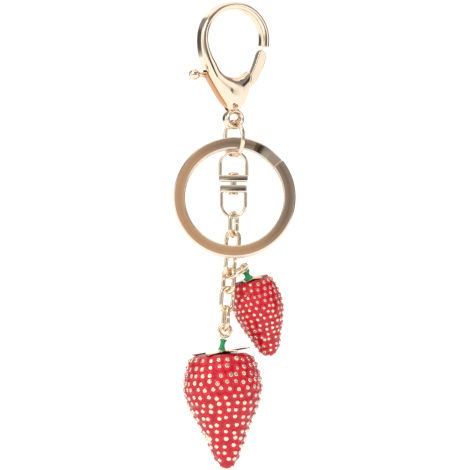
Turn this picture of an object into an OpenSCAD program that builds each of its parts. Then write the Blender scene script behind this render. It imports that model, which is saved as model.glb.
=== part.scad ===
/* [Clasp] */
// Turn of the trigger clasp about the vertical, its left side nearer the viewer
clasp_yaw = 25; // [0:1:45]
// Radius of the hook's bar at its centre line
hook_r = 8.33; // [7:0.05:10]
// Radial thickness of the hook's bar
hook_bar = 2.2; // [1.6:0.1:3]
// Depth of the hook's bar, front to back
hook_depth = 4; // [3:0.1:5]
// Thickness of the clasp's body
body_t = 5.2; // [4:0.1:7]
// Width of the slot that the lever turns in
slot_w = 2.4; // [1.8:0.05:3]
// Clearance on each side of the lever
lever_gap = 0.12; // [0.05:0.01:0.3]
// Diameter of the thumb knob
knob_d = 2.8; // [2:0.1:4]
// Diameter of the pivot rivet
pivot_d = 1.1; // [0.8:0.05:1.6]

/* [Rings] */
// Outer diameter of the split ring
split_d = 30; // [22:0.5:38]
// Radial width of the split ring's flat wire
split_w = 2.9; // [2:0.1:4]
// Thickness of each of its two turns
split_t = 1.25; // [0.8:0.05:1.6]
// Lean of the split ring, its foot toward the viewer
split_lean = 10.5; // [8:0.5:16]
// Outer diameter of the jump ring
jump_d = 9.7; // [8.6:0.1:11]
// Wire diameter of the jump ring
jump_wire = 1.15; // [0.8:0.05:1.4]
// Turn of the jump ring about the vertical
jump_yaw = -59; // [-75:1:-45]

/* [Swivel] */
// Width of the swivel's upper shackle
shackle_w = 7.4; // [6.4:0.1:8.4]
// Bar diameter of both shackles
shackle_bar = 0.92; // [0.7:0.02:1.1]
// Depth of the swivel's plates
plate_depth = 3.2; // [2.6:0.1:4.2]
// Diameter of the swivel rivet's shank
rivet_d = 1.5; // [1:0.05:1.9]

/* [Chain] */
// Wire diameter of the chain links
link_wire = 1.1; // [0.8:0.02:1.2]
// Outer length of a chain link
link_len = 6.86; // [6.4:0.02:8]
// Outer width of a chain link
link_w = 4.4; // [4:0.05:5.4]
// Wire diameter of the small berry's ring
drop_wire = 0.8; // [0.6:0.05:0.9]
// Outer diameter of the small berry's ring
drop_d = 6.15; // [6:0.05:6.4]

/* [Large strawberry] */
// Largest diameter of the large berry's enamel
berry_d = 18.7; // [15:0.1:23]
// Length of the large berry from calyx to tip
berry_len = 28.3; // [22:0.1:34]
// Spacing of its seeds
seed_pitch = 2.1; // [1.8:0.05:2.8]
// Diameter of its seeds
seed_d = 1.1; // [0.8:0.05:1.4]

/* [Small strawberry] */
// Largest diameter of the small berry's enamel
small_d = 12; // [10:0.1:13]
// Length of the small berry from calyx to tip
small_len = 19.6; // [15:0.2:22]
// Spacing of its seeds
small_pitch = 1.62; // [1.4:0.02:2.2]
// Diameter of its seeds
small_seed_d = 0.8; // [0.6:0.05:1]

/* [Finish] */
// Wall of the hollow berry castings
wall = 0.9; // [0.6:0.05:1.4]
// Thickness of the enamel
enamel = 0.35; // [0.2:0.05:0.6]

/* [Hidden] */
$fn = 48;

gold = [0.86, 0.72, 0.5];
pale = [0.9, 0.8, 0.62];
copper = [0.72, 0.5, 0.33];
red = [0.72, 0.03, 0.09];
green = [0.1, 0.5, 0.2];

// heights below the hook's seat
hook_z = -hook_bar / 2 - hook_r + hook_bar;   // centre of the hook's arc
pivot_x = -0.4;
pivot_z = -23.7;
eye_z = -26.8;                                // centre of the clasp's eye
eye_hole = 1.2;
jump_r = (jump_d - jump_wire) / 2;
jump_z = eye_z - eye_hole + jump_wire / 2 + 0.08 - jump_r;
jump_foot = jump_z - jump_r + jump_wire / 2;  // top of its lowest wire
upper_z = jump_foot + 0.06;                   // underside of the upper shackle's bow
upper_r = (shackle_w - shackle_bar) / 2;
plate_z = upper_z - 5.25;                     // top of the upper plate
plate_t = 1.75;
lower_z = plate_z - plate_t - 0.7;            // top of the lower plate
lower_t = 1.9;
lower_r = 2.95;
bow_z = -47.9;                                // centre of the lower bow
split_r = split_d / 2;
split_top = upper_z + shackle_bar + 0.12;     // inner foot of the split ring's top band
split_c = split_top - (split_r - split_w);    // its centre before it leans

// the chain's points of contact, from the lower bow to the large berry's eye
pull = link_len - 2 * link_wire - 0.06;
chain_x = [0.05, 0, -0.4, -0.95, -1.35, -1.75, -2];
chain_top = bow_z - lower_r + shackle_bar / 2 - 0.03;
chain_yaw = [62, -22, 50, -40, 30, 108];
function hook_point(k) = [chain_x[k], 0, chain_top - pull * k];

module tube_ring(r, w) { rotate_extrude() translate([r, 0]) circle(d = w); }
module half_ring(r, w) {
  rotate([90, 0, 0]) rotate_extrude(angle = 180) translate([r, 0]) circle(d = w);
}
module across(r, depth) { rotate([90, 0, 0]) cylinder(r = r, h = depth, center = true); }

// ---------- clasp ----------
module clasp_frame() { rotate([0, 0, clasp_yaw]) children(); }

body_left = [[-9.35, -7], [-9.25, -9.2], [-8.9, -11.4], [-8.3, -13.5], [-7.4, -15.6], [-6.2, -17.8],
  [-5, -19.7], [-3.7, -21.6], [-2.5, -23.3], [-1.6, -24.8]];
body_right = [[1.1, -24.8], [2.3, -23.6], [3.05, -22.1], [3.6, -20.1], [3.95, -18.4], [4.3, -16],
  [3, -14]];
body_inside = [[-5, -10], [-7.1, -7]];

module body_outline() { polygon(concat(body_left, body_right, body_inside)); }
module opening_outline() {
  circle(r = hook_r - hook_bar / 2);
  translate([-0.45, -4.05]) circle(r = 5.15);
  polygon([[-7.19, -0.8], [7.19, -0.8], [4.6, -5.2], [-5.45, -5.2]]);
}

module clasp_body() clasp_frame() {
  c = 0.55;                                   // bevel of the hook's bar
  hw = hook_bar / 2;
  hd = hook_depth / 2;
  difference() {
    union() {
      translate([0, 0, hook_z]) rotate([90, 0, 0]) rotate_extrude(angle = 196, start = -12)
        translate([hook_r, 0]) polygon([[-hw, -hd + c], [-hw + c, -hd], [hw - c, -hd], [hw, -hd + c],
          [hw, hd - c], [hw - c, hd], [-hw + c, hd], [-hw, hd - c]]);
      rotate([90, 0, 0]) linear_extrude(body_t, center = true) body_outline();
      // the eye, cast with the body
      translate([0, 0, eye_z]) rotate([90, 0, 0]) rotate_extrude()
        polygon([[eye_hole, -0.5], [1.42, -1.15], [1.85, -1.65], [2.15, -1.65], [2.5, -1.2], [2.65, -0.6],
          [2.65, 0.6], [2.5, 1.2], [2.15, 1.65], [1.85, 1.65], [1.42, 1.15], [eye_hole, 0.5]]);
    }
    // the hook's opening
    translate([0, 0, hook_z]) rotate([90, 0, 0]) linear_extrude(8, center = true) opening_outline();
    // the slot for the lever, open on the left and where the gate comes out
    rotate([90, 0, 0]) linear_extrude(slot_w, center = true)
      polygon([[-9.5, -13.6], [-7.2, -14.3], [-5, -16.9], [-1.5, -18.1], [0.6, -17.4], [1, -15], [6, -12],
        [6, -19], [3.2, -23.2], [0.7, -24.75], [-2, -24.95], [-6, -24.5], [-12, -20]]);
    translate([0, 0, eye_z]) across(eye_hole, 8);
    translate([pivot_x, 0, pivot_z]) across(pivot_d / 2, 8);
    // bevels along the body's two long edges, front and back
    for (s = [-1, 1]) {
      translate([-5.9, s * body_t / 2, -18.8]) rotate([0, 33, 0]) rotate([0, 0, s * 45])
        cube([1.1, 1.1, 14.5], center = true);
      translate([3.2, s * body_t / 2, -21.3]) rotate([0, -16, 0]) rotate([0, 0, s * 45])
        cube([1, 1, 9], center = true);
    }
  }
}

module clasp_lever() clasp_frame() {
  t = slot_w - 2 * lever_gap;
  difference() {
    union() {
      rotate([90, 0, 0]) linear_extrude(t, center = true)
        polygon([[-8.15, -15.3], [-7.1, -15.2], [-5, -17.6], [-1.4, -20.9], [0.1, -21], [2.5, -20.6],
          [3, -18.4], [4.6, -15.3], [5.9, -12.4], [6.7, -9.9], [7.35, -9.35], [8.75, -10.75], [8.3, -12.6],
          [7.2, -15.2], [5.6, -18], [3.6, -19.4], [2.4, -22.3], [0.8, -24.1], [-0.9, -24.6], [-2.6, -23.6],
          [-4.4, -21.2], [-6.3, -18.3]]);
      // the thumb knob on its stem
      translate([-7.4, 0, -16]) rotate([0, -90, 0]) cylinder(d = 1.5, h = 2.6);
      translate([-10.5, 0, -16]) sphere(d = knob_d);
    }
    translate([pivot_x, 0, pivot_z]) across(pivot_d / 2 + 0.05, 8);
  }
}

module clasp_rivet() clasp_frame() translate([pivot_x, 0, pivot_z]) union() {
  across(pivot_d / 2, body_t);
  for (s = [-1, 1]) intersection() {
    translate([0, s * body_t / 2, 0]) sphere(d = pivot_d);
    translate([0, s * (body_t / 2 + 0.05), 0]) across(pivot_d / 2, 0.5);
  }
}

// a coil of round wire, standing between the lever's shoulder and the body's web
coil_turns = 5;
coil_low = -20.5;
coil_high = -18;
function coil_point(i, j) = let (
    a = 360 * i / 12,
    b = 60 * j,
    r = 0.72 + 0.14 * cos(b),
    z = coil_low + 0.17 + (coil_high - coil_low - 0.34) * i / (12 * coil_turns) + 0.14 * sin(b)
  ) [r * cos(a), r * sin(a), z];
module clasp_spring() clasp_frame() translate([0.9, 0, 0]) {
  n = 12 * coil_turns;
  polyhedron(
    points = [for (i = [0:n]) for (j = [0:5]) coil_point(i, j)],
    faces = concat(
      [for (i = [0:n - 1]) for (j = [0:5]) [i * 6 + j, i * 6 + (j + 1) % 6, i * 6 + 6 + (j + 1) % 6, i * 6 + 6 + j]],
      [[5, 4, 3, 2, 1, 0]], [[for (j = [0:5]) n * 6 + j]]));
}

// ---------- rings ----------
module jump_ring() translate([0.2, 0, jump_z]) rotate([0, 0, jump_yaw]) rotate([90, 0, 0])
  tube_ring(jump_r, jump_wire);

// one turn of flat wire with bevelled edges; angles run anticlockwise from the right
module flat_turn(from, sweep, y) {
  c = 0.35;
  a = split_r - split_w;
  b = split_r;
  h = split_t / 2;
  translate([0, y, 0]) rotate([90, 0, 0]) rotate_extrude(angle = sweep, start = from, $fn = 96)
    polygon([[a, -h + c], [a + c, -h], [b - c, -h], [b, -h + c], [b, h - c], [b - c, h], [a + c, h],
      [a, h - c]]);
}
split_half = split_t / 2 + 0.02;
function slope(t) = t * t * (3 - 2 * t);
function cross_point(i, p) = let (a = 70 - 22.6 * i / 8, y = -split_half + 2 * split_half * slope(i / 8))
  [p[0] * cos(a), y - p[1], p[0] * sin(a)];
module crossover() {
  c = 0.35;
  a = split_r - split_w;
  b = split_r;
  h = split_t / 2;
  s = [[a, -h + c], [a + c, -h], [b - c, -h], [b, -h + c], [b, h - c], [b - c, h], [a + c, h], [a, h - c]];
  polyhedron(
    points = [for (i = [0:8]) for (p = s) cross_point(i, p)],
    faces = concat(
      [for (i = [0:7]) for (j = [0:7]) [i * 8 + j, i * 8 + 8 + j, i * 8 + 8 + (j + 1) % 8, i * 8 + (j + 1) % 8]],
      [[for (j = [0:7]) j]], [[for (j = [7:-1:0]) 64 + j]]));
}
module split_frame() translate([0.3, 0, split_top]) rotate([-split_lean, 0, 0])
  translate([0, 0, split_c - split_top]) children();
module split_ring() split_frame() union() {
  flat_turn(69.2, 329, -split_half);
  flat_turn(79, 328.4, split_half);
  crossover();
}

// ---------- swivel ----------
module swivel_upper_shackle() translate([0.05, 0, 0]) {
  top = upper_z + shackle_bar / 2 - upper_r;
  difference() {
    union() {
      translate([0, 0, top]) half_ring(upper_r, shackle_bar);
      for (s = [-1, 1]) translate([s * upper_r, 0, plate_z - 0.5])
        cylinder(d = shackle_bar, h = top - plate_z + 0.5);
      translate([0, 0, plate_z - plate_t]) intersection() {
        cylinder(d = shackle_w + 0.16, h = plate_t);
        translate([-6, -plate_depth / 2, 0]) cube([12, plate_depth, plate_t]);
      }
    }
    translate([0, 0, plate_z - 3]) cylinder(d = rivet_d + 0.1, h = 4);
  }
}
module swivel_lower_shackle() translate([0.05, 0, 0]) {
  difference() {
    union() {
      translate([0, 0, lower_z - lower_t]) intersection() {
        cylinder(r = lower_r + shackle_bar / 2 + 0.08, h = lower_t);
        translate([-6, -plate_depth / 2, 0]) cube([12, plate_depth, lower_t]);
      }
      for (s = [-1, 1]) translate([s * lower_r, 0, bow_z])
        cylinder(d = shackle_bar, h = lower_z - 0.5 - bow_z);
      translate([0, 0, bow_z]) mirror([0, 0, 1]) half_ring(lower_r, shackle_bar);
    }
    translate([0, 0, lower_z - 4]) cylinder(d = rivet_d, h = 6);
  }
}
module swivel_rivet() translate([0.05, 0, 0]) union() {
  translate([0, 0, lower_z - lower_t]) cylinder(d = rivet_d, h = plate_z + 0.1 - lower_z + lower_t);
  translate([0, 0, plate_z + 0.06]) intersection() {
    cylinder(d = 2.8, h = 0.8);
    translate([0, 0, -1.1]) sphere(r = 1.9);
  }
  translate([0, 0, lower_z - lower_t - 0.8]) intersection() {
    cylinder(d = 2.5, h = 0.8);
    translate([0, 0, 1.6]) sphere(r = 2.4);
  }
}

// ---------- chain ----------
module link_shape() {
  r = (link_w - link_wire) / 2;
  s = (link_len - link_wire) / 2 - r;
  union() {
    translate([0, 0, s]) half_ring(r, link_wire);
    translate([0, 0, -s]) mirror([0, 0, 1]) half_ring(r, link_wire);
    for (k = [-1, 1]) translate([k * r, 0, -s]) cylinder(d = link_wire, h = 2 * s);
  }
}
module chain_link(k) {
  a = hook_point(k);
  b = hook_point(k + 1);
  translate((a + b) / 2) rotate([0, atan2(a[0] - b[0], a[2] - b[2]), 0]) rotate([0, 0, chain_yaw[k]])
    link_shape();
}
module chain_link_1() chain_link(0);
module chain_link_2() chain_link(1);
module chain_link_3() chain_link(2);
module chain_link_4() chain_link(3);
module chain_link_5() chain_link(4);
module chain_link_6() chain_link(5);

// ---------- strawberries ----------
// outline of a berry: share of the length below the calyx, share of the largest radius
berry_curve = [[0, 0.66], [0.02, 0.76], [0.055, 0.83], [0.13, 0.925], [0.2, 0.975], [0.27, 1],
  [0.34, 0.985], [0.41, 0.93], [0.48, 0.86], [0.55, 0.755], [0.62, 0.645], [0.7, 0.535], [0.78, 0.44],
  [0.86, 0.35], [0.92, 0.27], [0.965, 0.18], [0.99, 0.09]];
// the small berry is blunter
small_curve = [[0, 0.72], [0.02, 0.78], [0.06, 0.85], [0.12, 0.91], [0.2, 0.975], [0.28, 1], [0.36, 1],
  [0.44, 0.965], [0.52, 0.89], [0.6, 0.8], [0.68, 0.69], [0.76, 0.585], [0.84, 0.49], [0.9, 0.41],
  [0.945, 0.32], [0.975, 0.21], [0.993, 0.1]];
function outline(curve, r, len, off) = concat([[0, 0]],
  [for (p = curve) [p[1] * r - off, -p[0] * (len - off)]], [[0, -len + off]]);
module berry_solid(curve, r, len, off) { rotate_extrude($fn = 64) polygon(outline(curve, r, len, off)); }
module berry_casting(curve, r, len, pin, bore) difference() {
  berry_solid(curve, r, len, enamel);
  translate([0, 0, -wall]) berry_solid(curve, r - wall, len - 2.2 * wall, enamel);
  translate(pin) cylinder(d = bore, h = 4, center = true);
}
module berry_enamel(curve, r, len) difference() {
  berry_solid(curve, r, len, 0);
  berry_solid(curve, r, len, enamel);
  cylinder(r = 0.55 * r, h = 2, center = true);
}
// skin position at a share of the length, and the slope there
function curve_r(c, t, i = 0) = i >= len(c) - 1 ? c[i][1] : t <= c[i + 1][0] ?
  c[i][1] + (c[i + 1][1] - c[i][1]) * (t - c[i][0]) / (c[i + 1][0] - c[i][0]) : curve_r(c, t, i + 1);
function rows(r, len, pitch) = floor(1.09 * len / (pitch * 0.88));
module berry_seeds(curve, r, len, pitch, d) {
  n = rows(r, len, pitch);
  for (k = [0:n - 1]) {
    t = 0.05 + 0.925 * k / (n - 1);
    rr = curve_r(curve, t) * r;
    m = max(3, round(2 * PI * rr / pitch));
    tilt = atan2((curve_r(curve, min(t + 0.03, 0.99)) - curve_r(curve, t - 0.03)) * r, 0.06 * len);
    for (j = [0:m - 1]) rotate([0, 0, 360 * (j + (k % 2) / 2) / m])
      translate([rr - 0.15, 0, -t * len]) rotate([0, 90 - tilt, 0])
        cylinder(d1 = d, d2 = 0.45 * d, h = 0.15 + 0.45 * d, $fn = 6);
  }
}
module leaf(len, t) translate([len * 0.5, 0, 0]) intersection_for(s = [-1, 1])
  translate([0, s * len * 0.42, 0]) cylinder(r = len * 0.7, h = t);
module calyx(r, t, n, lift, bore = 1.1) difference() {
  union() {
    cylinder(r = 0.42 * r, h = t);
    for (k = [0:n - 1]) rotate([0, 0, 360 * k / n]) rotate([0, k == 0 ? -lift : -1.5, 0]) leaf(r, t);
  }
  cylinder(d = bore, h = 4 * t, center = true);
}
module stem(r, h) rotate_extrude() polygon([[0.45, 0], [r, 0], [r * 0.92, 0.12 * h], [r * 0.62, 0.32 * h],
  [r * 0.58, 0.55 * h], [r * 0.7, 0.8 * h], [r * 0.95, h], [0.45, h]]);
module eye_pin(r, w, rise, deep) union() {
  translate([0, 0, rise + r]) rotate([90, 0, 0]) tube_ring(r, w);
  translate([0, 0, -deep]) cylinder(d = 0.9, h = rise + deep + w * 0.3);
}

// large berry: frame at the calyx's underside, on the berry's axis
large_eye_r = 1.34;
large_tube = 1.05;
large_stem = 2.7;
large_rise = 4.45;
large_lean = 9.8;                              // of the pin, toward the right
large_at = hook_point(6) + [-1.03, 0, large_tube - 2 * large_eye_r - 0.53 + 0.1 - large_rise];
module large_frame() translate(large_at) rotate([0, -3.2, 0]) children();
module large_pin_frame() translate(large_at) rotate([0, large_lean, 0]) children();
module large_berry_eye_pin() large_pin_frame() eye_pin(large_eye_r, large_tube, large_rise, 1);
module large_berry_stem() large_pin_frame() translate([0, 0, 0.95]) stem(1.02, large_stem);
module large_berry_calyx() large_frame() rotate([0, 0, 4]) translate([0, 0, 0.02]) calyx(7.2, 0.85, 6, 7, 1.6);
module large_berry_casting() large_frame() berry_casting(berry_curve, berry_d / 2, berry_len,
  [0, 0, 0], 1.8);
module large_berry_enamel() large_frame() berry_enamel(berry_curve, berry_d / 2, berry_len);
module large_berry_seeds() large_frame() berry_seeds(berry_curve, berry_d / 2, berry_len,
  seed_pitch, seed_d);

// small berry: frame at the calyx's underside, leaning right and back
small_at = hook_point(3) + [4.93, 3.77, -2.42];
small_eye_r = 1.02;
small_tube = 0.64;
// the pin stands a little off the body's axis, more so in a wider berry to keep it clear of the chain,
// and leans back further than the body does
small_pin = [-0.45, -1.3, 0] - (small_d - 12) * [0.35, 0.1, 0];
module small_frame() translate(small_at) rotate([6, 0, 0]) rotate([0, -14.5, 0])
  translate(-small_pin) children();
module small_pin_frame() translate(small_at) rotate([30.4, 0, 0]) rotate([0, -18.95, 0])
  rotate([0, 0, 41.65]) children();
module small_berry_eye_pin() small_pin_frame() eye_pin(small_eye_r, small_tube, 2.95, 0.8);
module small_berry_stem() small_pin_frame() translate([0, 0, 0.8]) stem(1.12, 2.15);
module small_berry_calyx() small_frame() difference() {
  rotate([0, 0, 190]) calyx(4.3, 0.62, 6, 4);
  translate(small_pin) cylinder(d = 1.8, h = 4, center = true);
}
module small_berry_casting() small_frame() berry_casting(small_curve, small_d / 2, small_len,
  small_pin, 2);
module small_berry_enamel() small_frame() berry_enamel(small_curve, small_d / 2, small_len);
module small_berry_seeds() small_frame() berry_seeds(small_curve, small_d / 2, small_len,
  small_pitch, small_seed_d);

drop_at = hook_point(3) + [1.91, 0.11, -0.29];
drop_turn = [0, 61.3, -78.6];
module small_berry_ring() translate(drop_at) rotate([0, drop_turn[1], 0]) rotate([0, 0, drop_turn[2]])
  rotate([90, 0, 0]) tube_ring((drop_d - drop_wire) / 2, drop_wire);

color(gold) clasp_body();
color(gold) clasp_lever();
color(pale) clasp_rivet();
color([0.6, 0.6, 0.62]) clasp_spring();
color(gold) jump_ring();
color(copper) split_ring();
color(gold) swivel_upper_shackle();
color(gold) swivel_lower_shackle();
color(pale) swivel_rivet();
color(gold) chain_link_1();
color(gold) chain_link_2();
color(gold) chain_link_3();
color(gold) chain_link_4();
color(gold) chain_link_5();
color(gold) chain_link_6();
color(pale) small_berry_ring();
color(gold) large_berry_eye_pin();
color(green) large_berry_stem();
color(gold) large_berry_calyx();
color(pale) large_berry_casting();
color(red) large_berry_enamel();
color(pale) large_berry_seeds();
color(gold) small_berry_eye_pin();
color(green) small_berry_stem();
color(gold) small_berry_calyx();
color(pale) small_berry_casting();
color(red) small_berry_enamel();
color(pale) small_berry_seeds();
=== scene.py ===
"""A charm keychain: trigger clasp, jump ring, split ring, swivel, cable chain and two enamelled
strawberries. Every shape is worked out in millimetres as a grid of points and handed to Blender in metres."""

import bpy
import numpy as np
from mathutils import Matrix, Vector


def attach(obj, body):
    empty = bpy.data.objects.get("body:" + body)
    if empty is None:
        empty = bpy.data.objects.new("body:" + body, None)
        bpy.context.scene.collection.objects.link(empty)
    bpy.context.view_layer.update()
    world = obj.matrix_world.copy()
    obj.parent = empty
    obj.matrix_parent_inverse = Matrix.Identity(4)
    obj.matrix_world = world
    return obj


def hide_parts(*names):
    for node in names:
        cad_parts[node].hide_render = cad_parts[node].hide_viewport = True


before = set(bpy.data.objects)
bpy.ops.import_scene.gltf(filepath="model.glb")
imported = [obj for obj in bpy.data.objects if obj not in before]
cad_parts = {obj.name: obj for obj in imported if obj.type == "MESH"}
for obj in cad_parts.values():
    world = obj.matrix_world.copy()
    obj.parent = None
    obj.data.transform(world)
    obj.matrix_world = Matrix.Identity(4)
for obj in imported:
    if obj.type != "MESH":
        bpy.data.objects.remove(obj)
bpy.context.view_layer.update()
rng = np.random.default_rng(11)

# ---------------------------------------------------------------- sizes, in millimetres, as the CAD has them
CLASP_YAW = 25.0
HOOK_CENTRE = -7.23
HOOK_R = 8.33
SLOT_W = 2.4
PIVOT = (-0.4, -23.7)
EYE_Z = -26.8
JUMP_R, JUMP_WIRE, JUMP_YAW = 4.275, 1.15, -59.0
JUMP_Z = EYE_Z - 1.2 + JUMP_WIRE / 2 + 0.08 - JUMP_R
JUMP_FOOT = JUMP_Z - JUMP_R + JUMP_WIRE / 2
SPLIT_R, SPLIT_W, SPLIT_T, SPLIT_LEAN = 15.0, 2.9, 1.25, 10.5
SHACKLE_BAR, SHACKLE_W, PLATE_DEPTH = 0.92, 7.4, 3.2
UPPER_Z = JUMP_FOOT + 0.06
UPPER_R = (SHACKLE_W - SHACKLE_BAR) / 2
PLATE_Z = UPPER_Z - 5.25
LOWER_Z = PLATE_Z - 1.75 - 0.7
BOW_Z, LOWER_R = -47.9, 2.95
SPLIT_TOP = UPPER_Z + SHACKLE_BAR + 0.12
LINK_WIRE, LINK_LEN, LINK_W = 1.1, 6.86, 4.4
CHAIN_X = (0.05, 0.0, -0.4, -0.95, -1.35, -1.75, -2.0)
CHAIN_YAW = (62, -22, 50, -40, 30, 108)
CHAIN_TOP = BOW_Z - LOWER_R + SHACKLE_BAR / 2 - 0.03
CHAIN_PULL = LINK_LEN - 2 * LINK_WIRE - 0.06
DROP_WIRE, DROP_D = 0.8, 6.15
ENAMEL = 0.35
BERRY_CURVE = np.array([(0, 0.66), (0.02, 0.76), (0.055, 0.83), (0.13, 0.925), (0.2, 0.975), (0.27, 1.0),
                        (0.34, 0.985), (0.41, 0.93), (0.48, 0.86), (0.55, 0.755), (0.62, 0.645), (0.7, 0.535),
                        (0.78, 0.44), (0.86, 0.35), (0.92, 0.27), (0.965, 0.18), (0.99, 0.09)])
SMALL_CURVE = np.array([(0, 0.72), (0.02, 0.78), (0.06, 0.85), (0.12, 0.91), (0.2, 0.975), (0.28, 1.0),
                        (0.36, 1.0), (0.44, 0.965), (0.52, 0.89), (0.6, 0.8), (0.68, 0.69), (0.76, 0.585),
                        (0.84, 0.49), (0.9, 0.41), (0.945, 0.32), (0.975, 0.21), (0.993, 0.1)])


# ---------------------------------------------------------------- places: a turn and a shift for each frame
def about(axis, degrees):
    """Turn matrix by the right-hand rule about the x, y or z axis."""
    a = np.radians(degrees)
    c, s = np.cos(a), np.sin(a)
    return {"x": np.array([[1, 0, 0], [0, c, -s], [0, s, c]]),
            "y": np.array([[c, 0, s], [0, 1, 0], [-s, 0, c]]),
            "z": np.array([[c, -s, 0], [s, c, 0], [0, 0, 1]])}[axis]


def placed(points, turn, shift=(0, 0, 0)):
    """Turns points about the origin, then moves them: each point becomes turn times point plus shift."""
    return points @ np.asarray(turn).T + np.asarray(shift, float)


def hook_point(k):
    return np.array([CHAIN_X[k], 0.0, CHAIN_TOP - CHAIN_PULL * k])


LARGE_AT = hook_point(6) + [-1.03, 0, 1.05 - 2 * 1.34 - 0.53 + 0.1 - 4.45]
SMALL_AT = np.array([3.98, 3.77, -66.64])
CLASP = (about("z", CLASP_YAW), (0, 0, 0))
LARGE = (about("y", -3.2), LARGE_AT)
LARGE_PIN = (about("y", 9.8), LARGE_AT)
SMALL_TURN = about("x", 6) @ about("y", -14.5)
SMALL = (SMALL_TURN, SMALL_AT + SMALL_TURN @ [0.45, 1.3, 0])
SMALL_PIN = (about("x", 30.4) @ about("y", -18.95) @ about("z", 41.65), SMALL_AT)
SPLIT_TURN = about("x", -SPLIT_LEAN)
SPLIT = (SPLIT_TURN, np.array([0.3, 0, SPLIT_TOP]) - SPLIT_TURN @ [0, 0, SPLIT_R - SPLIT_W])


# ---------------------------------------------------------------- surfaces
def shell(grid, wrap_rows=False, wrap_cols=True, caps=True):
    """Quads over a grid of points (rows, columns, 3), joined round the columns and closed by a flat cap at each
    end row. The faces are turned outwards by the sign of the volume they enclose."""
    rows, cols = grid.shape[:2]
    i = np.arange(rows if wrap_rows else rows - 1)[:, None]
    j = np.arange(cols if wrap_cols else cols - 1)[None, :]
    i2, j2 = (i + 1) % rows, (j + 1) % cols
    quads = np.stack([i * cols + j, i * cols + j2, i2 * cols + j2, i2 * cols + j], -1).reshape(-1, 4)
    p = grid.reshape(-1, 3)
    a, b, c, d = (p[quads[:, k]] for k in range(4))
    mid = p.mean(0)
    volume = (np.cross(b - a, c - a) * (a - mid)).sum() + (np.cross(c - a, d - a) * (a - mid)).sum()
    faces = quads.tolist()
    if caps and not wrap_rows:
        faces += [list(range(cols))[::-1], list(range((rows - 1) * cols, rows * cols))]
    if volume < 0:
        faces = [f[::-1] for f in faces]
    return p, faces


def tube(path, radius, up, sides=20, closed=True):
    """A round wire: at each point of a flat path, a circle across it, made from the path's own sideways direction
    (up crossed with the tangent) and up. radius is one number or one for each point."""
    path = np.asarray(path, float)
    step = np.roll(path, -1, 0) - np.roll(path, 1, 0) if closed else np.gradient(path, axis=0)
    tangent = step / np.linalg.norm(step, axis=1)[:, None]
    up = np.asarray(up, float) / np.linalg.norm(up)
    side = np.cross(tangent, up)
    a = np.linspace(0, 2 * np.pi, sides, endpoint=False)
    r = np.broadcast_to(radius, len(path))[:, None, None]
    grid = path[:, None] + r * (np.cos(a)[None, :, None] * side[:, None] + np.sin(a)[None, :, None] * up)
    return shell(grid, wrap_rows=closed)


def lathe(profile, sides=48):
    """A profile of (radius, height) turned about the z axis, with flat caps at its two ends."""
    profile = np.asarray(profile, float)
    a = np.linspace(0, 2 * np.pi, sides, endpoint=False)
    r, z = profile[:, 0][:, None], profile[:, 1][:, None]
    return shell(np.stack([r * np.cos(a), r * np.sin(a), z + 0 * a], -1))


def rounded(outline, times=3):
    """Softens a closed outline: each side gives way to points a quarter and three quarters along it."""
    p = np.asarray(outline, float)
    for _ in range(times):
        q = np.roll(p, -1, 0)
        p = np.stack([0.75 * p + 0.25 * q, 0.25 * p + 0.75 * q], 1).reshape(-1, 2)
    return p


def slab(outline, thick, edge, steps=5):
    """A plate on the x-z plane, its rim a quarter circle on each face: at angle t the outline is drawn in by
    edge times (1 - sin t) and stands at half the thickness less edge times (1 - cos t). One more narrow flat
    ring borders each face."""
    p = np.asarray(outline, float)
    along = np.roll(p, -1, 0) - np.roll(p, 1, 0)
    along /= np.linalg.norm(along, axis=1)[:, None]
    normal = np.stack([along[:, 1], -along[:, 0]], 1)
    area = (p[:, 0] * np.roll(p[:, 1], -1) - np.roll(p[:, 0], -1) * p[:, 1]).sum()
    normal *= np.sign(area)
    t = np.linspace(0, np.pi / 2, steps)
    inset = edge * (1 - np.sin(t))
    height = -(thick / 2 - edge * (1 - np.cos(t)))
    inset = np.r_[edge + 0.05, inset, inset[::-1], edge + 0.05]
    height = np.r_[height[0], height, -height[::-1], -height[0]]
    ring = p[None] - inset[:, None, None] * normal[None]
    return shell(np.stack([ring[..., 0], height[:, None] + 0 * ring[..., 0], ring[..., 1]], -1))


def smooth_through(x, known_x, known_y):
    """A curve through known points: on each span a cubic whose end slopes are the slopes between the
    neighbouring points."""
    kx, ky = np.asarray(known_x, float), np.asarray(known_y, float)
    slope = np.gradient(ky, kx)
    i = np.clip(np.searchsorted(kx, x) - 1, 0, len(kx) - 2)
    h = kx[i + 1] - kx[i]
    t = np.clip((x - kx[i]) / h, 0, 1)
    return ((2 * t**3 - 3 * t**2 + 1) * ky[i] + (t**3 - 2 * t**2 + t) * h * slope[i]
            + (3 * t**2 - 2 * t**3) * ky[i + 1] + (t**3 - t**2) * h * slope[i + 1])


def piece(name, node, body, material, shells, frame_of=None, sharp=38.0, marks=None):
    """Joins shells into one mesh in metres, shades it smooth but for edges over the sharp angle, and stands it
    for its CAD node on its body. marks holds named attributes, each one value for each point."""
    points, faces, start = [], [], 0
    for p, f in shells:
        points.append(p if frame_of is None else placed(p, *frame_of))
        faces += [[start + k for k in face] for face in f]
        start += len(p)
    points = np.concatenate(points) * 0.001
    mesh = bpy.data.meshes.new(name)
    mesh.from_pydata(points.tolist(), [], faces)
    mesh.update()
    mesh.polygons.foreach_set("use_smooth", np.ones(len(mesh.polygons), bool))
    mesh.set_sharp_from_angle(angle=np.radians(sharp))
    for label, values in (marks or {}).items():
        mesh.attributes.new(label, "FLOAT", "POINT").data.foreach_set("value", np.asarray(values, np.float32))
    mesh.materials.append(material)
    obj = bpy.data.objects.new(name, mesh)
    bpy.context.scene.collection.objects.link(obj)
    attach(obj, body)
    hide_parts(node)
    return obj


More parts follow.
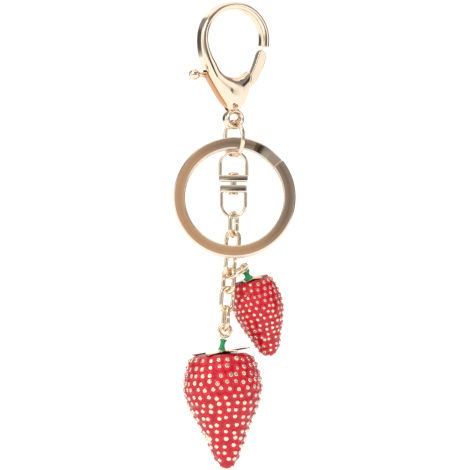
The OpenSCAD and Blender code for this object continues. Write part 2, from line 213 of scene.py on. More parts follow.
# ---------------------------------------------------------------- materials
def group(name, inputs, outputs):
    """An empty shader group with float inputs (name, default) and outputs (name, kind)."""
    g = bpy.data.node_groups.new(name, "ShaderNodeTree")
    for label, default in inputs:
        g.interface.new_socket(label, in_out="INPUT", socket_type="NodeSocketFloat").default_value = default
    for label, kind in outputs:
        g.interface.new_socket(label, in_out="OUTPUT", socket_type=kind)
    return g, g.nodes.new("NodeGroupInput"), g.nodes.new("NodeGroupOutput")


def maths(tree, kind, a, b=None):
    """A Math node on sockets or plain numbers."""
    n = tree.nodes.new("ShaderNodeMath")
    n.operation = kind
    for socket, value in zip(n.inputs, (a, b)):
        if value is None:
            continue
        if isinstance(value, (int, float)):
            socket.default_value = value
        else:
            tree.links.new(value, socket)
    return n.outputs[0]


def noise(tree, coords, scale, detail=3.0, rough=0.5):
    n = tree.nodes.new("ShaderNodeTexNoise")
    n.inputs["Detail"].default_value = detail
    n.inputs["Roughness"].default_value = rough
    if isinstance(scale, (int, float)):
        n.inputs["Scale"].default_value = scale
    else:
        tree.links.new(scale, n.inputs["Scale"])
    tree.links.new(coords, n.inputs["Vector"])
    return n.outputs["Fac"]


def make_polish():
    """Handling marks on polished plate: soft smudges and fine scratches raise the roughness, and both give a
    small height. Inputs set the smudges' scale, the base roughness and how far it rises."""
    g, gin, gout = group("handling marks", [("Smudge scale", 260.0), ("Base roughness", 0.12), ("Rise", 0.1)],
                         [("Roughness", "NodeSocketFloat"), ("Height", "NodeSocketFloat")])
    co = g.nodes.new("ShaderNodeTexCoord").outputs["Object"]
    smudge = noise(g, co, gin.outputs["Smudge scale"], 4.0)
    stretch = g.nodes.new("ShaderNodeMapping")
    stretch.inputs["Scale"].default_value = (2600, 500, 900)
    stretch.inputs["Rotation"].default_value = (0.4, 0.7, 0.2)
    g.links.new(co, stretch.inputs["Vector"])
    scratch = noise(g, stretch.outputs[0], 1.0, 6.0, 0.7)
    lines = maths(g, "POWER", maths(g, "ABSOLUTE", maths(g, "SUBTRACT", scratch, 0.5)), 0.5)
    mixed = maths(g, "ADD", maths(g, "MULTIPLY", smudge, 0.7), maths(g, "MULTIPLY", lines, 0.3))
    g.links.new(maths(g, "ADD", gin.outputs["Base roughness"], maths(g, "MULTIPLY", mixed, gin.outputs["Rise"])),
                gout.inputs["Roughness"])
    g.links.new(mixed, gout.inputs["Height"])
    return g


def make_wear():
    """Plating tone: a paler tint where the edges wear, read from the surface's own sharpness, with a slow drift
    over the piece."""
    g, gin, gout = group("plating tone", [("Edge", 0.5), ("Drift scale", 120.0)],
                         [("Edge mask", "NodeSocketFloat"), ("Drift", "NodeSocketFloat")])
    geo = g.nodes.new("ShaderNodeNewGeometry")
    ramp = g.nodes.new("ShaderNodeMapRange")
    ramp.inputs["From Min"].default_value = 0.5
    ramp.inputs["From Max"].default_value = 0.6
    g.links.new(geo.outputs["Pointiness"], ramp.inputs["Value"])
    co = g.nodes.new("ShaderNodeTexCoord").outputs["Object"]
    drift = noise(g, co, gin.outputs["Drift scale"], 2.0)
    g.links.new(maths(g, "MULTIPLY", ramp.outputs[0], gin.outputs["Edge"]), gout.inputs["Edge mask"])
    g.links.new(drift, gout.inputs["Drift"])
    return g


POLISH, WEAR = make_polish(), make_wear()


def use(tree, node_group, **values):
    n = tree.nodes.new("ShaderNodeGroup")
    n.node_tree = node_group
    for label, value in values.items():
        n.inputs[label.replace("_", " ")].default_value = value
    return n


def blank(name):
    m = bpy.data.materials.new(name)
    m.use_nodes = True
    return m, m.node_tree, m.node_tree.nodes["Principled BSDF"]


def blend_colour(tree, factor, a, b, kind="MIX"):
    n = tree.nodes.new("ShaderNodeMix")
    n.data_type, n.blend_type = "RGBA", kind
    for socket, value in ((n.inputs["Factor"], factor), (n.inputs["A"], a), (n.inputs["B"], b)):
        if isinstance(value, (tuple, float, int)):
            socket.default_value = value if isinstance(value, (float, int)) else (*value, 1)
        else:
            tree.links.new(value, socket)
    return n.outputs["Result"]


def bump(tree, height, strength, distance):
    n = tree.nodes.new("ShaderNodeBump")
    n.inputs["Strength"].default_value = strength
    n.inputs["Distance"].default_value = distance
    tree.links.new(height, n.inputs["Height"])
    return n.outputs["Normal"]


def plate(name, deep, pale, rough=0.1, rise=0.08, strength=0.05, shaded_side=None, marked=(0.66, 0.27, 0.08)):
    """Polished plated metal: colour drifts between a deep and a pale tone and pales where its edges wear. The
    optional darker brown tone is painted shade, laid over the side toward the ring's upper right. marked is the
    tone of points whose attribute 'mark' is 1, and they are rougher too: by default an orange painted reflection,
    as laid in the clasp's groove and on the lever."""
    m, t, bsdf = blank(name)
    tone = use(t, WEAR, Edge=0.6, Drift_scale=140.0)
    marks = use(t, POLISH, Smudge_scale=300.0, Base_roughness=rough, Rise=rise)
    body_colour = blend_colour(t, tone.outputs["Drift"], deep, pale)
    # painted shade: a darker brown blended in smoothly toward the upper right, along one direction of the object
    if shaded_side:
        spot = t.nodes.new("ShaderNodeVectorMath")
        spot.operation = "DOT_PRODUCT"
        spot.inputs[1].default_value = (0.82, 0.0, 0.57)
        t.links.new(t.nodes.new("ShaderNodeTexCoord").outputs["Object"], spot.inputs[0])
        along = t.nodes.new("ShaderNodeMapRange")
        along.interpolation_type = "SMOOTHSTEP"
        along.inputs["From Min"].default_value = -0.034
        along.inputs["From Max"].default_value = -0.016
        t.links.new(spot.outputs["Value"], along.inputs["Value"])
        body_colour = blend_colour(t, along.outputs[0], body_colour, shaded_side)
    paled = blend_colour(t, tone.outputs["Edge mask"], body_colour, pale)
    spots = t.nodes.new("ShaderNodeAttribute")
    spots.attribute_name = "mark"
    t.links.new(blend_colour(t, spots.outputs["Fac"], paled, marked), bsdf.inputs["Base Color"])
    t.links.new(maths(t, "ADD", marks.outputs["Roughness"], maths(t, "MULTIPLY", spots.outputs["Fac"], 0.22)),
                bsdf.inputs["Roughness"])
    t.links.new(bump(t, marks.outputs["Height"], strength, 0.00005), bsdf.inputs["Normal"])
    bsdf.inputs["Metallic"].default_value = 1.0
    return m


def enamel(name, colour, deep, lump, bare=(0.92, 0.78, 0.60)):
    """Glossy fired enamel: the attribute 'mark' carries painted shade, deepening the tone in the hollows between
    seeds and in a ring at each seed's rim; a slow lumpiness breaks the highlights, and a clear coat lies over
    all. Where the attribute 'bare' is 1 the enamel has missed and the plated metal shows."""
    m, t, bsdf = blank(name)
    co = t.nodes.new("ShaderNodeTexCoord").outputs["Object"]
    near = t.nodes.new("ShaderNodeAttribute")
    near.attribute_name = "mark"
    cloud = noise(t, co, 420.0, 3.0)
    tone = blend_colour(t, cloud, deep, colour)
    # painted shade: the 'mark' attribute draws the tone toward the deep colour
    shade = blend_colour(t, near.outputs["Fac"], tone, deep)
    missed = t.nodes.new("ShaderNodeAttribute")
    missed.attribute_name = "bare"
    t.links.new(blend_colour(t, missed.outputs["Fac"], shade, bare), bsdf.inputs["Base Color"])
    t.links.new(missed.outputs["Fac"], bsdf.inputs["Metallic"])
    marks = use(t, POLISH, Smudge_scale=700.0, Base_roughness=0.16, Rise=0.16)
    t.links.new(marks.outputs["Roughness"], bsdf.inputs["Roughness"])
    t.links.new(bump(t, noise(t, co, lump, 2.0), 0.9, 0.0003), bsdf.inputs["Normal"])
    bsdf.inputs["Coat Weight"].default_value = 0.18
    bsdf.inputs["Coat Roughness"].default_value = 0.06
    bsdf.inputs["Specular IOR Level"].default_value = 0.4
    return m


# the gold plate keeps the default orange marked tone: a painted reflection for the clasp's groove and lever
GOLD = plate("pale gold plate", (0.80, 0.65, 0.50), (0.93, 0.81, 0.66), rough=0.06)
CHAIN_GOLD = plate("chain gold plate", (0.78, 0.62, 0.42), (0.94, 0.82, 0.64), rough=0.1)
COPPER = plate("coppery plate", (0.60, 0.35, 0.19), (0.72, 0.46, 0.27), rough=0.12, rise=0.06)
# the split ring: a darker brown painted shade over its upper right side, and a pale marked tone on its bevels and
# end that also paints a highlight where the wire crosses
RING = plate("split ring plate", (0.62, 0.34, 0.17), (0.74, 0.45, 0.25), rough=0.08, rise=0.05,
             shaded_side=(0.21, 0.155, 0.12), marked=(0.95, 0.84, 0.70))
BEAD = plate("seed plate", (0.80, 0.60, 0.42), (0.96, 0.84, 0.68), rough=0.12)
STEEL = plate("spring wire", (0.5, 0.5, 0.52), (0.66, 0.66, 0.68), rough=0.25)
RED = enamel("crimson enamel", (0.88, 0.010, 0.040), (0.36, 0.002, 0.010), 1100.0)
GREEN = enamel("green enamel", (0.03, 0.36, 0.11), (0.005, 0.17, 0.04), 700.0)


# ---------------------------------------------------------------- clasp
# polar outline about the hook's centre: angle, inner edge, outer edge, half depth
CLASP_POLAR = np.array([
    (-12, 7.23, 9.43, 2.0), (60, 7.23, 9.43, 2.0), (120, 7.23, 9.43, 2.0), (165, 7.23, 9.4, 2.0),
    (180, 7.23, 9.36, 2.1), (192, 7.25, 9.46, 2.25), (205, 7.32, 9.83, 2.45), (217, 7.46, 10.4, 2.55),
    (228.5, 7.75, 11.2, 2.6), (239.6, 8.55, 12.26, 2.6), (248.2, 8.95, 13.4, 2.6), (255.6, 9.14, 14.84, 2.6),
    (261.2, 9.18, 16.26, 2.6), (264.8, 9.18, 17.64, 2.6), (269.5, 9.18, 17.95, 2.6), (273.6, 9.15, 17.6, 2.6),
    (278, 9.0, 16.5, 2.6), (281.6, 8.85, 15.18, 2.6), (285.6, 8.6, 13.4, 2.6), (289.5, 8.4, 11.9, 2.6),
    (293.5, 8.25, 10.5, 2.6)])


def clasp_shell():
    """One band round the hook's opening. At each angle the section is a rounded box between the inner and the
    outer edge (a superellipse), with a groove let into its outer side for the lever. The groove opens at the
    left shoulder and runs round the tip to where the gate comes out."""
    phi = np.r_[[-12, -11.7, -11.0], np.arange(-9, 196, 3), np.arange(196, 293, 1.2), [292.9, 293.3, 293.5]]
    inner, outer, depth = (smooth_through(phi, CLASP_POLAR[:, 0], CLASP_POLAR[:, k]) for k in (1, 2, 3))
    power = np.interp(phi, [170, 235], [2.5, 2.9])[:, None]
    groove_w = SLOT_W / 2
    lip = np.arcsin((groove_w / depth[:, None]) ** (power / 2))
    a = lip + (2 * np.pi - 2 * lip) * np.linspace(0, 1, 47)[None]
    c, s = np.cos(a), np.sin(a)
    mid, half = ((inner + outer) / 2)[:, None], ((outer - inner) / 2)[:, None]
    across = np.sign(c) * np.abs(c) ** (2 / power)
    toward = np.sign(s) * np.abs(s) ** (2 / power)
    reach = (across + 1) / 2
    tip = np.interp(phi, [240, 262, 277, 289], [0, 0.3, 0.3, 0])[:, None]
    r = mid + half * across
    y = depth[:, None] * toward * (1 - tip * reach**2)
    deep = np.interp(phi, [225, 226.5, 232, 250, 289, 293.5], [0, 1.6, 2.2, 3.4, 3.2, 2.0])[:, None]
    mouth = r[:, :1]
    grow = y[:, :1]
    r = np.concatenate([r, mouth, mouth - deep, mouth - deep, mouth], 1)
    y = np.concatenate([y, -grow, -grow, grow, grow], 1)
    end = np.interp(phi, [-12, -11.7, -11, 292.4, 293.2, 293.5], [0.8, 0.93, 1, 1, 0.94, 0.82])[:, None]
    r = mid + (r - mid) * end
    y = y * end
    q = np.radians(phi)[:, None]
    # painted reflection: from 225 degrees on, the groove's inner faces take the orange marked tone of light
    # reflected inside the groove
    groove_reflection = (np.arange(r.shape[1]) > 47)[None] * np.interp(phi, [225, 228], [0, 0.9])[:, None]
    return shell(np.stack([r * np.cos(q), y, r * np.sin(q) + HOOK_CENTRE], -1)), groove_reflection.ravel()


EYE_SECTION = rounded([(1.2, -0.5), (1.42, -1.15), (1.85, -1.65), (2.15, -1.65), (2.5, -1.2), (2.65, -0.6),
                       (2.65, 0.6), (2.5, 1.2), (2.15, 1.65), (1.85, 1.65), (1.42, 1.15), (1.2, 0.5)], 2)


def ring_of(section, turns=64, centre=(0, 0, 0)):
    """A closed section of (radius, depth) carried round the y axis."""
    q = np.linspace(0, 2 * np.pi, turns, endpoint=False)[:, None]
    r, y = section[:, 0][None], section[:, 1][None]
    grid = np.stack([r * np.cos(q), y + 0 * q, r * np.sin(q)], -1) + np.asarray(centre, float)
    return shell(grid, wrap_rows=True)


band, band_marks = clasp_shell()
eye_band = ring_of(EYE_SECTION, centre=(0, 0, EYE_Z))
piece("clasp_body_skin", "clasp_body", "clasp", GOLD, [band, eye_band], CLASP,
      marks={"mark": np.r_[band_marks, np.zeros(len(eye_band[0]))]})

LEVER = [(-8.15, -15.3), (-7.1, -15.2), (-5, -17.6), (-1.4, -20.9), (0.1, -21), (2.5, -20.6), (3, -18.4),
         (4.6, -15.3), (5.9, -12.4), (6.7, -9.9), (7.35, -9.35), (8.75, -10.75), (8.3, -12.6), (7.2, -15.2),
         (5.6, -18), (3.6, -19.4), (2.4, -22.3), (0.8, -24.1), (-0.9, -24.6), (-2.6, -23.6), (-4.4, -21.2),
         (-6.3, -18.3)]


def ball(centre, radius, sides=32):
    """A sphere turned about the z axis from pole to pole."""
    t = np.linspace(0.03, np.pi - 0.03, 20)
    p, f = lathe(np.stack([radius * np.sin(t), -radius * np.cos(t)], 1), sides)
    return p + np.asarray(centre, float), f


def lever_shells():
    knob = ball((-10.5, 0, -16), 1.4)
    stem, faces = lathe([(0.78, 0), (0.7, 0.5), (0.62, 1.3), (0.66, 2.0), (0.9, 2.6)], 24)
    stem = placed(stem, about("y", -90), (-7.4, 0, -16))
    return [slab(rounded(LEVER, 3), SLOT_W - 0.24, 0.2), knob, (stem, faces)]


lever = lever_shells()
at = np.concatenate([p for p, _ in lever])
# painted reflection: the lever's lower left part (x between -8 and 2.6, below z -15.6) takes the same orange
# marked tone
piece("clasp_lever_skin", "clasp_lever", "lever", GOLD, lever, CLASP,
      marks={"mark": 0.85 * ((at[:, 0] > -8.0) & (at[:, 0] < 2.6) & (at[:, 2] < -15.6))})

dome = [(0.55, -2.6), (0.55, 2.6), (0.5, 2.66), (0.36, 2.72), (0.2, 2.76), (0.03, 2.78)]
rivet, rivet_faces = lathe([(r, -z) for r, z in dome[:1:-1]] + dome, 28)
piece("clasp_rivet_skin", "clasp_rivet", "clasp", COPPER,
      [(placed(rivet, about("x", 90), (PIVOT[0], 0, PIVOT[1])), rivet_faces)], CLASP)


# ---------------------------------------------------------------- rings, swivel and chain
def seam(count, at, dip=0.13):
    """Share of the wire's radius left at each point of a closed path: a dip, shaped as a bell curve a point or so
    wide, where its two ends butt."""
    gap = np.abs((np.arange(count) / count - at + 0.5) % 1 - 0.5) * count
    return 1 - dip * np.exp(-(gap / 0.7) ** 2)


def hoop(radius, count=96):
    q = np.linspace(0, 2 * np.pi, count, endpoint=False)
    return np.stack([radius * np.cos(q), 0 * q, radius * np.sin(q)], -1)


JUMP = (about("z", JUMP_YAW), (0.2, 0, JUMP_Z))
piece("jump_ring_wire", "jump_ring", "jump_ring_body", GOLD,
      [tube(hoop(JUMP_R), JUMP_WIRE / 2 * seam(96, 0.36), (0, 1, 0), 24)], JUMP)
DROP = (about("y", 61.3) @ about("z", -78.6), (0.96, 0.11, -64.51))
piece("small_berry_ring_wire", "small_berry_ring", "drop_ring", CHAIN_GOLD,
      [tube(hoop((DROP_D - DROP_WIRE) / 2), DROP_WIRE / 2 * seam(96, 0.7), (0, 1, 0), 20)], DROP)


def split_shell():
    """Flat wire with bevelled edges wound twice. Going clockwise, the wire keeps to the front for 329 degrees,
    crosses to the back over the next 22 along a smooth step, and keeps there for the second turn."""
    sweep = np.r_[0, 0.25, 0.8, np.arange(2.5, 329, 2.5), np.arange(329, 351, 1.2), np.arange(352, 678, 2.5),
                  678.4, 678.95, 679.2]
    half = SPLIT_T / 2 + 0.02
    s = np.clip((sweep - 328.6) / 22.6, 0, 1)
    y = -half + 2 * half * s * s * (3 - 2 * s)
    q = np.radians(38.2 - sweep)[:, None]
    a, b, h, c = SPLIT_R - SPLIT_W, SPLIT_R, SPLIT_T / 2, 0.35
    corner = np.array([(a, -h + c), (a + 0.06, -h + 0.75 * c), (a + 0.75 * c, -h + 0.06), (a + c, -h),
                       (b - c, -h), (b - 0.75 * c, -h + 0.06), (b - 0.06, -h + 0.75 * c), (b, -h + c)])
    ring = np.concatenate([corner[:4], [((a + b) / 2, -h - 0.02)], corner[4:],
                           corner[4:][::-1] * [1, -1], [((a + b) / 2, h + 0.02)], corner[:4][::-1] * [1, -1]])
    end = np.interp(sweep, [0, 0.8, 678.4, 679.2], [0.8, 1, 1, 0.8])[:, None]
    mid = (a + b) / 2
    r = mid + (ring[:, 0][None] - mid) * end
    d = y[:, None] + ring[:, 1][None] * end
    # the pale, rougher marked tone: most on the bevelled corners, a little over the flats, and at the wire's cut
    # end
    edge = np.array([1, 1, 1, 0.25, 0.25, 1, 1, 1])
    edge = np.r_[edge[:4], 0, edge[4:], edge[4:][::-1], 0, edge[:4][::-1]]
    # painted highlight: over the crossing to the back the wire takes the pale marked tone in place of the light
    # it would catch
    cross = np.interp(sweep, [334, 340, 348, 351], [0, 0.75, 0.9, 0.3])
    tip = np.interp(sweep, [0, 0.4, 0.9], [1, 1, 0])
    paled = np.maximum(0.8 * edge[None], np.maximum(cross, tip)[:, None])
    return shell(np.stack([r * np.cos(q), d, r * np.sin(q)], -1)), paled.ravel()


flat_wire, flat_marks = split_shell()
piece("split_ring_wire", "split_ring", "split_ring_body", RING, [flat_wire], SPLIT, 24,
      {"mark": flat_marks})


def bow(radius, top, foot, flip):
    """A shackle's bar: up one leg, round half a circle and down the other."""
    q = np.linspace(0, np.pi, 40)
    arc = np.stack([radius * np.cos(q), 0 * q, top + flip * radius * np.sin(q)], -1)
    legs = np.linspace(foot, top, 5)[:-1]
    right = np.stack([radius + 0 * legs, 0 * legs, legs], -1)
    return tube(np.concatenate([right, arc, right[::-1] * [-1, 1, 1]]), SHACKLE_BAR / 2, (0, 1, 0), 20, False)


def swivel_plate(width, top, thick):
    """A round-ended plate seen from above: the part of a disc that lies within the plate's depth, with its
    upper and lower edges rounded."""
    r = width / 2
    w = np.arcsin(PLATE_DEPTH / 2 / r)
    q = np.r_[np.linspace(-w, w, 12), np.linspace(np.pi - w, np.pi + w, 12)]
    outline = rounded(np.stack([r * np.cos(q), r * np.sin(q)], 1), 1)
    p, f = slab(outline, thick, 0.42, 7)
    return placed(p, about("x", -90), (0, 0, top - thick / 2)), f


MIDDLE = (np.eye(3), (0.05, 0, 0))
TOP = UPPER_Z + SHACKLE_BAR / 2 - UPPER_R
piece("swivel_upper_skin", "swivel_upper_shackle", "swivel_upper", GOLD,
      [bow(UPPER_R, TOP, PLATE_Z - 0.5, 1), swivel_plate(SHACKLE_W, PLATE_Z, 1.75)], MIDDLE)
piece("swivel_lower_skin", "swivel_lower_shackle", "swivel_lower", GOLD,
      [bow(LOWER_R, BOW_Z, LOWER_Z - 0.5, -1), swivel_plate(2 * LOWER_R + SHACKLE_BAR, LOWER_Z, 1.9)], MIDDLE)
foot = LOWER_Z - 1.9
piece("swivel_rivet_skin", "swivel_rivet", "swivel_lower", GOLD,
      [lathe([(0.75, foot - 0.72), (1.0, foot - 0.7), (1.2, foot - 0.55), (1.24, foot - 0.3), (1.2, foot - 0.04),
              (0.75, foot), (0.75, PLATE_Z + 0.06), (1.32, PLATE_Z + 0.07), (1.4, PLATE_Z + 0.16),
              (1.33, PLATE_Z + 0.36), (1.1, PLATE_Z + 0.6), (0.7, PLATE_Z + 0.76), (0.3, PLATE_Z + 0.84),
              (0.02, PLATE_Z + 0.86)], 40)], MIDDLE)


def link_shell(at):
    """A cable link: two half circles joined by straight sides, with a butt seam part way round."""
    r = (LINK_W - LINK_WIRE) / 2
    s = (LINK_LEN - LINK_WIRE) / 2 - r
    q = np.linspace(0, np.pi, 33)
    top = np.stack([r * np.cos(q), 0 * q, s + r * np.sin(q)], -1)
    side = np.linspace(s, -s, 9)[1:-1]
    left = np.stack([-r + 0 * side, 0 * side, side], -1)
    path = np.concatenate([top, left, -top, -left])
    return tube(path, LINK_WIRE / 2 * seam(len(path), at), (0, 1, 0), 20)


for k in range(6):
    a, b = hook_point(k), hook_point(k + 1)
    turn = about("y", np.degrees(np.arctan2(a[0] - b[0], a[2] - b[2]))) @ about("z", CHAIN_YAW[k])
    piece(f"chain_link_{k + 1}_wire", f"chain_link_{k + 1}", f"link_{k + 1}", CHAIN_GOLD,
          [link_shell(0.45 if k % 2 else 0.95)], (turn, (a + b) / 2))


# ---------------------------------------------------------------- strawberries
def seed_places(curve, r, length, pitch):
    """Rows of seeds a little under a pitch apart, each row turned half a seed from the last, as in the CAD:
    position, and outward direction from the slope of the outline."""
    rows = int(1.09 * length / (pitch * 0.88))
    spots, outs = [], []
    for k in range(rows):
        t = 0.05 + 0.925 * k / (rows - 1)
        rr = np.interp(t, *curve.T) * r
        count = max(3, int(2 * np.pi * rr / pitch + 0.5))
        slope = (np.interp(min(t + 0.03, 0.99), *curve.T) - np.interp(t - 0.03, *curve.T)) * r
        tilt = np.arctan2(slope, 0.06 * length)
        q = 2 * np.pi * (np.arange(count) + (k % 2) / 2) / count
        q = q + rng.normal(0, 0.11 * pitch / max(rr, 1), count)
        drop = rng.normal(0, 0.09 * pitch, count)
        spots.append(np.stack([rr * np.cos(q), rr * np.sin(q), drop - t * length], -1))
        flat = np.cos(tilt)
        outs.append(np.stack([flat * np.cos(q), flat * np.sin(q), np.full(count, np.sin(tilt))], -1))
    return np.concatenate(spots), np.concatenate(outs)


def enamel_shell(curve, r, length, seeds, seed_d, rows, cols, bare):
    """The berry's skin: the outline turned about the axis, then raised where it climbs each seed, by an amount
    that falls off exponentially with the distance from the seed's rim, and rippled by a slow wave. bare is the
    centre and radius of a spot the enamel missed."""
    t = np.r_[np.linspace(0, 0.9, int(rows * 0.86)), np.linspace(0.9, 0.999, rows - int(rows * 0.86) + 1)[1:]]
    last = curve[-2, 0]
    edge = np.sqrt(np.clip((1.0 - t) / (1.0 - last), 0, 1))
    along = smooth_through(np.clip(t, 0, last), curve[:, 0], curve[:, 1])
    rad = np.where(t > last, curve[-2, 1] * edge, along) * r
    q = np.linspace(0, 2 * np.pi, cols, endpoint=False)
    grid = np.stack([rad[:, None] * np.cos(q), rad[:, None] * np.sin(q), -t[:, None] * length + 0 * q], -1)
    flat = grid.reshape(-1, 3)
    near = np.concatenate([np.sqrt(((part[:, None] - seeds[None]) ** 2).sum(-1)).min(1)
                           for part in np.array_split(flat, 60)])
    gap = np.maximum(near - seed_d / 2, 0)
    raise_ = 0.3 * seed_d * np.exp(-gap / (0.26 * seed_d)) * np.clip(near / (0.4 * seed_d), 0.2, 1)
    wave = 0.06 * np.sin(flat[:, 2] * 1.9 + 2 * np.sin(3 * np.arctan2(flat[:, 1], flat[:, 0])))
    out = np.stack([np.cos(q) + 0 * rad[:, None], np.sin(q) + 0 * rad[:, None], 0 * rad[:, None] + 0 * q], -1)
    flat = flat + out.reshape(-1, 3) * (raise_ + wave * np.clip((1 - np.repeat(t, cols)) * 8, 0, 1))[:, None]
    # painted shade: deepest at each seed's rim and again in the hollows farthest from seeds, none at a middle
    # distance
    mark = (2 * np.clip(gap / (0.55 * seed_d), 0, 1) - 1) ** 2 * 0.85
    points, faces = shell(flat.reshape(grid.shape))
    ragged = 0.25 * np.sin(7 * points[:, 2]) * np.cos(5 * points[:, 1])
    off = np.linalg.norm(points - bare[0], axis=1) + ragged
    return (points, faces), {"mark": mark, "bare": np.clip((bare[1] - off) / 0.15, 0, 1)}


def bead_shells(spots, outs, seed_d):
    """Every seed is a small dome with a dimple: rings of eight at rising heights about its outward direction."""
    ring = np.array([(0.52, -0.25), (0.55, 0.22), (0.49, 0.42), (0.33, 0.5), (0.12, 0.38)]) * seed_d
    q = np.linspace(0, 2 * np.pi, 8, endpoint=False)
    size = rng.normal(1.0, 0.06, len(spots)).clip(0.85, 1.15)
    side = np.cross(outs, [0, 0, 1.0])
    side /= np.linalg.norm(side, axis=1)[:, None]
    up = np.cross(side, outs)
    around = side[:, None] * np.cos(q)[None, :, None] + up[:, None] * np.sin(q)[None, :, None]
    grid = (spots[:, None, None] + ring[None, :, 0, None, None] * size[:, None, None, None] * around[:, None]
            + ring[None, :, 1, None, None] * outs[:, None, None])
    return [shell(g) for g in grid]


def leaf_shell(length, width, thick, lift, droop, angle):
    """A calyx leaf: a pointed oval whose half width goes as sine of the way along, creased along its middle,
    rising by lift and then drooping with the square of the way; top and bottom meet at the rim."""
    u = np.linspace(0.0, 1.0, 25)[:, None]
    v = np.linspace(-1, 1, 13)
    v = np.r_[v, v[-2:0:-1]][None]
    face = np.r_[np.ones(13), -np.ones(11)][None]
    half = width / 2 * np.clip(np.sin(np.pi * (0.14 + 0.86 * u)) ** 0.75, 0.02, 1)
    x = length * u + 0 * v
    y = half * v
    rim = np.sqrt(np.clip(1 - v**2, 0, 1))
    crease = 0.05 * length * v**2 * half / width
    z = lift * u - droop * u**2 + crease + face * thick / 2 * rim * (1 - 0.5 * u)
    a = np.radians(angle)
    return shell(np.stack([x * np.cos(a) - y * np.sin(a), x * np.sin(a) + y * np.cos(a), z], -1))


def calyx_shells(r, thick, angles, lifts):
    hub = lathe([(0.5, 0.02), (0.34 * r, 0.02), (0.38 * r, thick / 2), (0.3 * r, thick), (0.5, thick * 1.1)], 40)
    leaves = [leaf_shell(r, 0.62 * r, thick, lift, drop, a) for a, (lift, drop) in zip(angles, lifts)]
    return [hub] + [(p + [0, 0, thick * 0.55], f) for p, f in leaves]


def stem_shell(r, height, base):
    """The green neck: a spool that flares at both ends and leans on a slow wave."""
    s = np.linspace(0, 1, 22)
    rad = r * (0.56 + 0.44 * np.abs(2 * s - 1.05) ** 2.2)
    p, f = lathe(np.stack([rad, base + s * height], 1), 36)
    a = np.arctan2(p[:, 1], p[:, 0])
    k = 1 + 0.06 * np.sin(3 * a + p[:, 2] * 2)
    return p * np.stack([k, k, 1 + 0 * k], 1), f


def eye_shells(r, wire, rise, deep):
    ring, faces = tube(hoop(r, 64), wire / 2, (0, 1, 0), 22)
    post = lathe([(0.42, -deep), (0.45, rise), (0.5, rise + wire * 0.2)], 20)
    return [(ring + [0, 0, rise + r], faces), post]


def berry(kind, body, place, pin, curve, r, length, pitch, seed_d, rows, cols, eye, stem, calyx,
          calyx_mat, bare):
    spots, outs = seed_places(curve, r, length, pitch)
    skin, marks = enamel_shell(curve, r, length, spots, seed_d, rows, cols, bare)
    piece(f"{kind}_enamel_skin", f"{kind}_enamel", body, RED, [skin], place, 60, marks)
    piece(f"{kind}_seed_beads", f"{kind}_seeds", body, BEAD,
          bead_shells(spots, outs, seed_d), place, 75)
    piece(f"{kind}_eye_pin_wire", f"{kind}_eye_pin", body, CHAIN_GOLD, eye_shells(*eye), pin)
    piece(f"{kind}_stem_skin", f"{kind}_stem", body, GREEN, [stem_shell(*stem)], pin)
    piece(f"{kind}_calyx_leaves", f"{kind}_calyx", body, calyx_mat, calyx_shells(*calyx), place)


# a spot the enamel missed: its centre on the berry and its radius; a negative radius leaves none
LARGE_BARE = ((-4.3, -1.7, -20.7), 1.4)
SMALL_BARE = ((0, 0, 0), -9)
berry("large_berry", "large_berry", LARGE, LARGE_PIN, BERRY_CURVE, 9.35, 28.3, 2.1, 1.05, 270, 330,
      (1.34, 1.05, 4.45, 1.0), (1.02, 2.7, 0.95),
      (7.2, 0.85, (4, 64, 124, 184, 244, 304),
       ((1.1, 0.5), (0.3, 0.6), (0.2, 0.5), (0.3, 0.7), (0.1, 0.5), (0.5, 0.4))), GOLD,
      LARGE_BARE)
berry("small_berry", "small_berry", SMALL, SMALL_PIN, SMALL_CURVE, 6.0, 19.6, 1.62, 0.78, 240, 280,
      (1.02, 0.64, 2.95, 0.8), (1.12, 2.15, 0.8),
      (4.3, 0.62, (190, 250, 310, 10, 70, 130), ((0.2, 0.4),) * 6), COPPER, SMALL_BARE)

for name, material in (("clasp_spring", STEEL), ("large_berry_casting", GOLD), ("small_berry_casting", GOLD)):
    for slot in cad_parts[name].material_slots:
        slot.material = material


# ---------------------------------------------------------------- studio
def studio_sheet():
    """A pale floor that curves up into a wall behind: flat, then a quarter circle, then upright."""
    q = np.linspace(0, np.pi / 2, 16)
    profile = np.concatenate([[(-0.9, -0.16)], np.stack([0.7 + 0.5 * np.sin(q), 0.34 - 0.5 * np.cos(q)], 1),
                              [(1.2, 2.5)]])
    x = np.linspace(-0.75, 0.75, 9)
    grid = np.stack([x[None] + 0 * profile[:, :1], profile[:, :1] + 0 * x, profile[:, 1:] + 0 * x], -1)
    p, f = shell(grid, wrap_cols=False, caps=False)
    mesh = bpy.data.meshes.new("studio_sheet")
    mesh.from_pydata(p.tolist(), [], f)
    mesh.polygons.foreach_set("use_smooth", np.ones(len(mesh.polygons), bool))
    m, tree, bsdf = blank("pale studio paper")
    co = tree.nodes.new("ShaderNodeTexCoord").outputs["Object"]
    tree.links.new(blend_colour(tree, noise(tree, co, 3.0, 2.0), (0.14, 0.14, 0.14), (0.18, 0.18, 0.18)),
                   bsdf.inputs["Base Color"])
    bsdf.inputs["Roughness"].default_value = 0.9
    bsdf.inputs["Emission Color"].default_value = (1, 1, 1, 1)
    bsdf.inputs["Emission Strength"].default_value = 1.0
    mesh.materials.append(m)
    obj = bpy.data.objects.new("studio_sheet", mesh)
    bpy.context.scene.collection.objects.link(obj)


# the tent's light and dark panels: degrees to the viewer's right, degrees up, full and outer half width, level
PANELS = [(0, -90, 80, 96, 1.0), (0, 90, 34, 46, 1.15), (-50, 26, 17, 30, 1.35), (66, 8, 15, 23, 1.25),
          (0, 22, 8, 12, 0.72), (36, 2, 9, 13, 0.05), (-92, 5, 10, 26, 1.25), (100, 5, 18, 24, 0.07),
          (4, -4, 5, 8, 0.07), (-18, 42, 5, 8, 0.1), (28, 48, 6, 10, 0.1), (-24, -4, 5, 8, 0.5),
          (75, -6, 5, 9, 0.12), (-128, 5, 5, 16, 0.1), (128, 10, 8, 12, 0.9)]


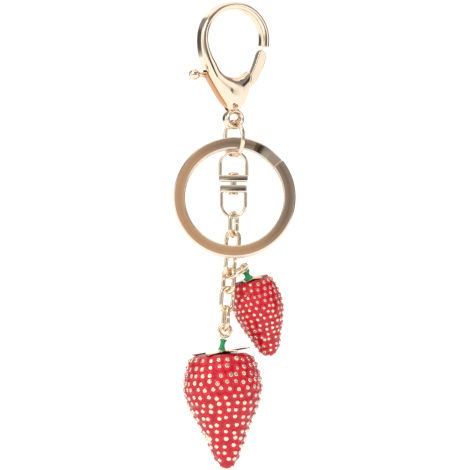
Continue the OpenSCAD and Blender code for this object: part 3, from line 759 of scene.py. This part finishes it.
def sky():
    """A light tent: an even mid level with round light and dark panels laid over it in turn. Each panel is a
    smooth step on the dot product of the view direction with the panel's own."""
    world = bpy.data.worlds.new("light tent")
    bpy.context.scene.world = world
    world.use_nodes = True
    t = world.node_tree
    direction = t.nodes.new("ShaderNodeTexCoord").outputs["Generated"]
    colour = (0.30, 0.285, 0.27)
    for right, up, full, outer, level in PANELS:
        a, b = np.radians(right), np.radians(up)
        dot = t.nodes.new("ShaderNodeVectorMath")
        dot.operation = "DOT_PRODUCT"
        dot.inputs[1].default_value = (np.sin(a) * np.cos(b), -np.cos(a) * np.cos(b), np.sin(b))
        t.links.new(direction, dot.inputs[0])
        step = t.nodes.new("ShaderNodeMapRange")
        step.interpolation_type = "SMOOTHSTEP"
        step.inputs["From Min"].default_value = np.cos(np.radians(outer))
        step.inputs["From Max"].default_value = np.cos(np.radians(full))
        t.links.new(dot.outputs["Value"], step.inputs["Value"])
        colour = blend_colour(t, step.outputs[0], colour, (level, level * 0.985, level * 0.96))
    t.links.new(colour, t.nodes["Background"].inputs["Color"])


def lamp(name, place, aim, size, watts, mirrored=True):
    light = bpy.data.lights.new(name, "AREA")
    light.shape, light.size, light.size_y, light.energy = "RECTANGLE", size[0], size[1], watts
    obj = bpy.data.objects.new(name, light)
    obj.location = place
    obj.visible_glossy = mirrored
    obj.rotation_euler = (Vector(aim) - Vector(place)).to_track_quat("-Z", "Y").to_euler()
    bpy.context.scene.collection.objects.link(obj)


studio_sheet()
sky()
lamp("soft key", (-0.45, -0.6, 0.45), (0, 0, -0.06), (0.3, 0.3), 0.9)
lamp("enamel fill", (0.1, -0.9, 0.25), (0, 0, -0.08), (0.5, 0.5), 5.0, False)

camera = bpy.data.cameras.new("camera")
camera.lens, camera.sensor_width = 311.4, 36.0
camera.clip_start, camera.clip_end = 0.05, 20.0
eye = bpy.data.objects.new("camera", camera)
eye.location = (0.00042, -1.0, -0.05528)
eye.rotation_euler = (np.pi / 2, 0, 0)
bpy.context.scene.collection.objects.link(eye)
bpy.context.scene.camera = eye
bpy.context.scene.view_settings.view_transform = "Standard"
